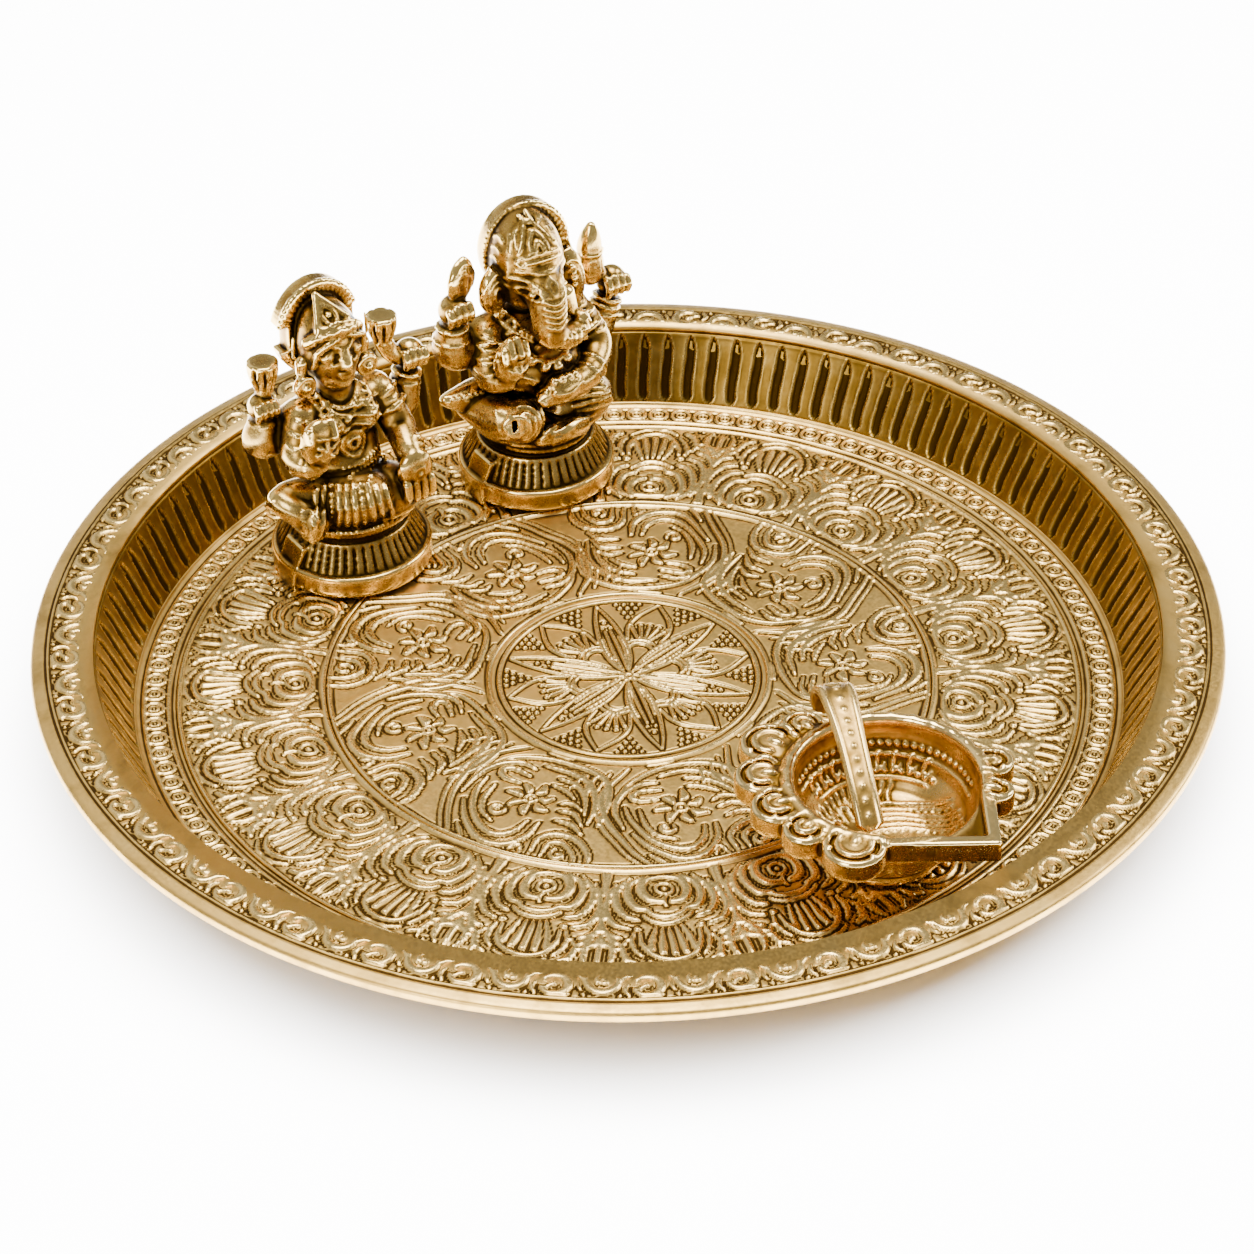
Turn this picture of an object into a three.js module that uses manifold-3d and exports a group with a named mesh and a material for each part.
// Round brass prayer tray with two cast seated figures and an oil lamp, as separate pieces.
// Millimetres, +Z up. The origin is the middle of the tray, on the surface that it stands on.
// +Y points from the lamp's side of the tray to the figures' side; both figures face -Y.
import * as THREE from 'three';
import { mergeVertices } from 'three/addons/utils/BufferGeometryUtils.js';
import Module from 'manifold-3d';

const wasm = await Module();
wasm.setup();

// ---- Driving dimensions -------------------------------------------------------------------

const TRAY_R = 127;             // outer edge of the rim: a 10 inch tray
const SHEET = 1.5;              // thickness of the tray's sheet
const FLOOR_UNDER = 3;          // the floor is pressed up inside its heel, so screw heads clear the table
const FLOOR_TOP = FLOOR_UNDER + SHEET;
const FLOOR_R = 105.7;          // where the wall starts
const WALL_TOP_R = 113.1;       // where the wall meets the rim
const RIM_TOP = FLOOR_TOP + 15.9;
const RIM_FLAT_R = 123;         // the rim is flat to here, then falls a little to its edge
const RIM_FALL = 0.5;
const LIP_DEPTH = 2.9;          // the edge is turned down and looks this thick
const LIP_WIDTH = 2.4;
const HEEL_OUT_R = 105.2;
const HEEL_IN_R = 101.5;

const SCREW_R = 1.7;            // shank of an M4 machine screw, at the root of its thread
const SCREW_HOLE_R = 2.2;       // clearance hole for it in sheet, spacer and washer
const BLIND_HOLE_R = 2;         // tapped hole in a casting
const SCREW_HEAD_R = 3.5;
const SCREW_HEAD_H = 1.8;
const SCREW_REACH = 5;          // how far a screw goes into its casting
const SLOT_WIDTH = 0.9;
const SLOT_DEPTH = 0.7;
const HOLE_GAP = 0.4;           // empty thread above a screw's end
const WASHER_R = 4.5;
const WASHER_H = 0.8;
const SPACER_R = 6;
const SPACER_H = 1.2;
const SEAT_Z = FLOOR_TOP + SPACER_H;   // underside of every casting

const GODDESS_AT = [-25.5, 72.5];
const ELEPHANT_AT = [26.5, 77];
const LAMP_AT = [9.2, -79.6];

const BASE_R = 18;              // round foot of a figure
const BASE_H = 4.8;
const LOTUS_R = 15.8;           // fluted lotus cushion on it
const LOTUS_TOP = 11.6;

const BOWL_R = 21.6;            // outside of the lamp's bowl at its rim
const BOWL_IN_R = 19;
const BOWL_H = 18.8;
const BOWL_FLOOR = 3.2;
const BOWL_FOOT_R = 12;
const SPOUT_ANGLE = THREE.MathUtils.degToRad(-78);
const SPOUT_TIP = 30.5;         // from the bowl's middle to the wick end
const SPOUT_WALL = 3.4;
const SPOUT_DEPTH = 5;
const CHANNEL_DEPTH = 3.2;
const FLANGE_H = 5;
const FLANGE_PETALS = [         // petal bosses round the flange: [angle in degrees, distance, radius]
  [98, 24.4, 4.8], [118, 26.4, 6.3], [142, 25.2, 5.8], [166, 23.6, 5.5],
  [-171, 22.9, 4.8], [-143, 22.4, 6.5], [-44, 22.4, 3.6], [-20, 22.6, 4.3],
];

const STRAP_WIDTH = 5.4;
const STRAP_THICK = 1.8;
const HEAD_WIDTH = 8;

const ROUND = 64;               // sides of the tray
const PIECE_SIDES = 28;         // sides of bases and bowl
const SMALL_SIDES = 16;         // sides of hardware

const brass = (colour, roughness) =>
  new THREE.MeshStandardMaterial({ color: colour, roughness, metalness: 1 });
const TRAY_BRASS = brass('#c9ab70', 0.35);
const CAST_BRASS = brass('#b98a3c', 0.35);
const LAMP_BRASS = brass('#cf9f52', 0.3);
const SCREW_BRASS = brass('#c8a45a', 0.4);

// ---- Small helpers ------------------------------------------------------------------------

// A three.js geometry as a solid, and a solid as a geometry.
function solid(geometry) {
  const bare = geometry.index ? geometry.clone() : mergeVertices(geometry);
  bare.deleteAttribute('normal');
  bare.deleteAttribute('uv');
  const welded = mergeVertices(bare, 1e-4);
  return new wasm.Manifold(new wasm.Mesh({
    numProp: 3,
    vertProperties: new Float32Array(welded.attributes.position.array),
    triVerts: new Uint32Array(welded.index.array),
  }));
}

function named(name, shape, material) {
  const { vertProperties, triVerts } = shape.getMesh();
  const geometry = new THREE.BufferGeometry();
  geometry.setAttribute('position', new THREE.BufferAttribute(vertProperties, 3));
  geometry.setIndex(new THREE.BufferAttribute(triVerts, 1));
  geometry.computeVertexNormals();
  const mesh = new THREE.Mesh(geometry, material);
  mesh.name = name;
  return mesh;
}

// A body turned about Z from (radius, height) pairs that run up its outside, axis to axis.
function turned(profile, sides = PIECE_SIDES) {
  const points = profile.map(([r, z]) => new THREE.Vector2(r, z));
  return solid(new THREE.LatheGeometry(points, sides).rotateX(Math.PI / 2));
}

function rod(radius, low, high, sides = SMALL_SIDES) {
  return turned([[0, low], [radius, low], [radius, high], [0, high]], sides);
}

// An ellipsoid: middle, three half sizes, and a tilt about X and Y in degrees.
function blob([x, y, z], [rx, ry, rz], tiltX = 0, tiltY = 0) {
  const ball = new THREE.IcosahedronGeometry(1.03, 1).scale(rx, ry, rz);
  ball.rotateX(THREE.MathUtils.degToRad(tiltX)).rotateY(THREE.MathUtils.degToRad(tiltY));
  return solid(ball.translate(x, y, z));
}

// A limb: round stretches between points, each point being [x, y, z, radius].
function limb(points) {
  const pieces = [];
  points.forEach(([x, y, z, r], i) => {
    pieces.push(solid(new THREE.IcosahedronGeometry(r * 1.12, 0).translate(x, y, z)));
    if (i === 0) return;
    const [x0, y0, z0, r0] = points[i - 1];
    const from = new THREE.Vector3(x0, y0, z0);
    const along = new THREE.Vector3(x, y, z).sub(from);
    const stretch = new THREE.CylinderGeometry(r, r0, along.length(), 6);
    stretch.translate(0, along.length() / 2, 0);
    const turn = new THREE.Quaternion().setFromUnitVectors(new THREE.Vector3(0, 1, 0), along.clone().normalize());
    pieces.push(solid(stretch.applyQuaternion(turn).translate(x0, y0, z0)));
  });
  return joined(pieces);
}

function joined(pieces) {
  return pieces.reduce((whole, piece) => whole.add(piece));
}

// An outline in the XY plane, pushed up from one height to another.
function plate(shape, low, high) {
  const geometry = new THREE.ExtrudeGeometry(shape, { depth: high - low, bevelEnabled: false, curveSegments: 10 });
  return solid(geometry.translate(0, 0, low));
}

// ---- Tray ---------------------------------------------------------------------------------

function tray() {
  const wallLow = [FLOOR_R, FLOOR_TOP];
  const body = turned([
    [0, FLOOR_UNDER], [HEEL_IN_R - 1, FLOOR_UNDER], [HEEL_IN_R, 0], [HEEL_OUT_R, 0], [HEEL_OUT_R + 1.4, 1],
    [FLOOR_R + SHEET + 0.3, FLOOR_TOP - 0.4], [WALL_TOP_R + SHEET - 0.2, RIM_TOP - SHEET - 0.8],
    [WALL_TOP_R + SHEET + 0.6, RIM_TOP - SHEET], [TRAY_R - LIP_WIDTH, RIM_TOP - SHEET],
    [TRAY_R - LIP_WIDTH, RIM_TOP - LIP_DEPTH], [TRAY_R - 0.4, RIM_TOP - LIP_DEPTH],
    [TRAY_R, RIM_TOP - LIP_DEPTH + 0.5], [TRAY_R, RIM_TOP - RIM_FALL - 0.4], [TRAY_R - 0.5, RIM_TOP - RIM_FALL],
    [RIM_FLAT_R, RIM_TOP], [WALL_TOP_R + 0.5, RIM_TOP], [WALL_TOP_R, RIM_TOP - 0.5], wallLow, [0, FLOOR_TOP],
  ], ROUND);
  const holes = [GODDESS_AT, ELEPHANT_AT, LAMP_AT].map(([x, y]) =>
    rod(SCREW_HOLE_R, FLOOR_UNDER - 1, FLOOR_TOP + 1).translate([x, y, 0]));
  return body.subtract(joined(holes));
}

// ---- Figures: each in its own frame, with its base's underside at z = 0 and facing -Y ------

function lotusSeat() {
  return turned([
    [0, 0], [BASE_R - 0.8, 0], [BASE_R, 0.8], [BASE_R, BASE_H - 0.4], [BASE_R - 0.5, BASE_H],
    [LOTUS_R, BASE_H + 0.6], [LOTUS_R, BASE_H + 1.2], [LOTUS_R + 0.4, BASE_H + 3], [LOTUS_R - 0.8, LOTUS_TOP],
    [LOTUS_R - 2.4, LOTUS_TOP + 0.6], [0, LOTUS_TOP + 0.6],
  ]);
}

// The upright oval plate behind a head.
function halo(middleX, backY, middleZ, halfWidth, halfHeight, thick) {
  const oval = new THREE.Shape();
  oval.absellipse(middleX, middleZ, halfWidth, halfHeight, 0, Math.PI * 2);
  const geometry = new THREE.ExtrudeGeometry(oval, { depth: thick, bevelEnabled: false, curveSegments: 14 });
  return solid(geometry.rotateX(Math.PI / 2).translate(0, backY, 0));
}

function withScrewHole(figure) {
  return figure.subtract(rod(BLIND_HOLE_R, -1, SCREW_REACH + HOLE_GAP));
}

function goddess() {
  return withScrewHole(joined([
    lotusSeat(),
    blob([0, 1, 15], [15.5, 12.5, 5.5]),                        // crossed legs
    blob([6, -7, 17.5], [8, 7, 6.5]),                           // pleated left thigh
    limb([[-6, -8, 18, 5], [-14, -6, 20, 4.6], [-18.5, 0, 21, 3.6]]),   // right shin and knee
    blob([0, 2.5, 30], [9.5, 7.5, 14]),                         // trunk of the body
    blob([0, 3, 39.5], [12.5, 6, 5]),                           // shoulders
    blob([0, -5, 31.5], [3.4, 2.2, 3.4]),                       // belly medallion
    blob([-1.8, 2.6, 54], [8.8, 7.6, 9.6]),                     // head
    blob([-2.2, 3.4, 60.5], [8.4, 6.2, 7.5]),                   // crown
    halo(-2.4, 9, 57.6, 10, 12, 4),
    blob([-9.8, 1, 48.2], [2.4, 2.6, 2.6]),                     // ear studs
    blob([6.8, 1, 48.2], [2.4, 2.6, 2.6]),
    limb([[-9, 5, 38, 4], [-17, 5.5, 36.5, 3.6], [-17, 5, 45, 3.4]]),   // rear right arm
    blob([-16, 5, 50.5], [3.8, 3.4, 3.6]),
    limb([[9, 5, 36, 4], [16, 5, 30, 3.8], [19.5, 5, 42.5, 3.6]]),      // rear left arm
    limb([[17, 5, 42, 2.6], [14, 5, 50.5, 3.7]]),
    limb([[-9.5, 1, 37, 3.8], [-12.5, -4, 29, 3.6], [-12.6, -8.5, 34, 3]]),  // front right arm
    blob([-12, -9.6, 39.8], [4, 2.2, 5.8]),
    limb([[9.5, 1, 36, 3.8], [12, -4, 30, 3.4], [9.6, -11, 29.5, 2.9]]),     // front left arm
    blob([9.4, -13.2, 24.4], [3.6, 2.1, 5.4]),
  ]));
}

function elephantHeaded() {
  return withScrewHole(joined([
    lotusSeat(),
    blob([0, 0, 15.5], [15.8, 13, 6]),                          // crossed legs
    blob([-10.5, -7.5, 22], [6.4, 6, 5.4]),                     // pleated right leg
    blob([9.5, -5, 19], [6.6, 7, 6]),                           // left knee
    limb([[-10, 1, 22, 4.5], [-20.5, 1, 26, 2]]),               // pointed end of the shawl
    blob([0, 1, 31], [12, 9, 13.5]),                            // round belly
    blob([0, 3, 41], [13, 6.5, 5]),                             // shoulders
    blob([0, 0, 55], [10.2, 7.8, 11.5]),                        // domed head
    blob([0.4, 2, 61], [8, 6.2, 6.5]),                          // crown
    halo(1.4, 7, 56.6, 10.2, 12.4, 4),
    limb([[0, -6, 54, 4], [0, -8.6, 47, 3.7], [1.4, -9, 42.6, 3.2], [5.4, -8.6, 40.8, 2.6]]),   // trunk
    blob([-11, -2.5, 53.5], [4.6, 2.6, 6.2]),                   // ears
    blob([10.6, -2, 46.5], [4, 2.8, 8.5]),
    limb([[-11, 3, 41, 4], [-20, 2, 39.5, 4.6], [-18.2, 2, 46, 3.8]]),  // rear right arm with its axe
    blob([-17, 2.4, 54], [5, 2, 8]),
    limb([[12, 3, 37, 4], [20, 3.4, 28.5, 3.6], [22.6, 4, 37, 3.2], [24, 4, 43, 3.6]]),         // rear left arm
    limb([[18.8, 4, 43.5, 2.9], [18.3, 4, 51, 3.2], [18.3, 4, 55.8, 1.6]]),
    limb([[-11.5, 1, 38, 4], [-13.4, -6, 31, 3.6], [-12.6, -9.6, 37, 3]]),                      // front right arm
    blob([-12.6, -9.8, 43.2], [3.7, 2.1, 5.6]),
    limb([[12, 1, 37, 4], [13, -5, 30, 3.6], [6, -10.4, 27.6, 3.2], [-0.5, -11.6, 28.6, 3.4]]), // front left arm
  ]));
}

// ---- Oil lamp: in its own frame, with its foot's underside at z = 0 ------------------------

// A circle drawn out to a point: the outline of the bowl and its spout.
function teardrop(radius, tip) {
  const half = Math.acos(radius / tip);
  const outline = new THREE.Shape();
  outline.absarc(0, 0, radius, SPOUT_ANGLE + half, SPOUT_ANGLE - half + Math.PI * 2, false);
  outline.lineTo(tip * Math.cos(SPOUT_ANGLE), tip * Math.sin(SPOUT_ANGLE));
  outline.closePath();
  return outline;
}

function oilLamp() {
  const bowl = turned([
    [0, 0], [BOWL_FOOT_R, 0], [BOWL_FOOT_R + 0.6, 1.4], [BOWL_FOOT_R, 2.6], [BOWL_FOOT_R + 5, 7],
    [BOWL_R - 1, BOWL_H - FLANGE_H], [BOWL_R, BOWL_H], [0, BOWL_H],
  ]);
  const spout = plate(teardrop(BOWL_R, SPOUT_TIP), BOWL_H - SPOUT_DEPTH, BOWL_H);
  const petals = FLANGE_PETALS.map(([degrees, distance, radius]) => {
    const angle = THREE.MathUtils.degToRad(degrees);
    return rod(radius, BOWL_H - FLANGE_H, BOWL_H - 0.6)
      .translate([distance * Math.cos(angle), distance * Math.sin(angle), 0]);
  });
  const hollow = turned([
    [0, BOWL_FLOOR], [BOWL_IN_R - 8, BOWL_FLOOR + 0.6], [BOWL_IN_R - 2.4, BOWL_FLOOR + 6],
    [BOWL_IN_R, BOWL_H - CHANNEL_DEPTH], [BOWL_IN_R, BOWL_H + 1], [0, BOWL_H + 1],
  ]);
  const channel = plate(teardrop(BOWL_IN_R, SPOUT_TIP - SPOUT_WALL), BOWL_H - CHANNEL_DEPTH, BOWL_H + 1);
  return joined([bowl, spout, ...petals]).subtract(hollow).subtract(channel)
    .subtract(rod(BLIND_HOLE_R, -1, BOWL_FLOOR - 1));
}

// The strap rises from inside the front of the bowl to a broad head behind its back rim.
function strapHandle() {
  const route = new THREE.CatmullRomCurve3([
    new THREE.Vector3(-11.2, -10.2, BOWL_H - 2), new THREE.Vector3(-9, -4, BOWL_H + 3.4),
    new THREE.Vector3(-5, 5.5, BOWL_H + 8.2), new THREE.Vector3(-0.8, 15.5, BOWL_H + 11),
    new THREE.Vector3(1.2, 20.6, BOWL_H + 8.6), new THREE.Vector3(1.8, 22.3, BOWL_H + 1.2),
  ]);
  const steps = 16;
  const across = new THREE.Vector3(0.9, -0.4, 0).normalize();
  const corners = [];
  for (let i = 0; i <= steps; i += 1) {
    const t = i / steps;
    const middle = route.getPoint(t);
    const up = new THREE.Vector3().crossVectors(across, route.getTangent(t)).normalize();
    const swell = Math.exp(-(((t - 0.72) / 0.2) ** 2));
    const half = (STRAP_WIDTH + (HEAD_WIDTH - STRAP_WIDTH) * swell) / 2;
    for (const [side, face] of [[-1, -1], [1, -1], [1, 1], [-1, 1]]) {
      corners.push(middle.clone().addScaledVector(across, side * half).addScaledVector(up, face * STRAP_THICK / 2));
    }
  }
  const faces = [[0, 1, 2], [0, 2, 3]];
  for (let i = 0; i < steps; i += 1) {
    for (let k = 0; k < 4; k += 1) {
      const [a, b] = [i * 4 + k, i * 4 + (k + 1) % 4];
      faces.push([a, b + 4, b], [a, a + 4, b + 4]);
    }
  }
  const last = steps * 4;
  faces.push([last, last + 2, last + 1], [last, last + 3, last + 2]);
  const geometry = new THREE.BufferGeometry().setFromPoints(corners);
  geometry.setIndex(faces.flat());
  return solid(geometry);
}

// ---- Hardware -----------------------------------------------------------------------------

function screw(reach) {
  const headTop = FLOOR_UNDER - WASHER_H;
  const headLow = headTop - SCREW_HEAD_H;
  const body = turned([
    [0, headLow], [SCREW_HEAD_R - 0.5, headLow], [SCREW_HEAD_R, headLow + 0.5], [SCREW_HEAD_R, headTop],
    [SCREW_R, headTop], [SCREW_R, SEAT_Z + reach], [0, SEAT_Z + reach],
  ], SMALL_SIDES);
  const slot = new THREE.BoxGeometry(SCREW_HEAD_R * 3, SLOT_WIDTH, SLOT_DEPTH * 2).translate(0, 0, headLow);
  return body.subtract(solid(slot));
}

function ring(outer, low, high) {
  return rod(outer, low, high).subtract(rod(SCREW_HOLE_R, low - 1, high + 1));
}

// ---- Assembly -----------------------------------------------------------------------------

const assembly = new THREE.Group();
assembly.add(named('tray', tray(), TRAY_BRASS));

const CASTINGS = [
  ['goddess_figure', GODDESS_AT, goddess(), CAST_BRASS, SCREW_REACH],
  ['elephant_headed_figure', ELEPHANT_AT, elephantHeaded(), CAST_BRASS, SCREW_REACH],
  ['oil_lamp', LAMP_AT, oilLamp(), LAMP_BRASS, BOWL_FLOOR - 1 - HOLE_GAP],
];
for (const [name, [x, y], shape, material, reach] of CASTINGS) {
  const casting = named(name, shape, material);
  casting.position.set(x, y, SEAT_Z);
  assembly.add(casting);

  const stem = name.replace(/_figure$/, '');
  const hardware = [
    named(`${stem}_screw`, screw(reach), SCREW_BRASS),
    named(`${stem}_washer`, ring(WASHER_R, FLOOR_UNDER - WASHER_H, FLOOR_UNDER), SCREW_BRASS),
    named(`${stem}_spacer`, ring(SPACER_R, FLOOR_TOP, SEAT_Z), SCREW_BRASS),
  ];
  for (const piece of hardware) {
    piece.position.set(x, y, 0);
    assembly.add(piece);
  }
}

const strap = named('lamp_strap_handle', strapHandle(), LAMP_BRASS);
strap.position.set(LAMP_AT[0], LAMP_AT[1], SEAT_Z);
assembly.add(strap);

export default assembly;
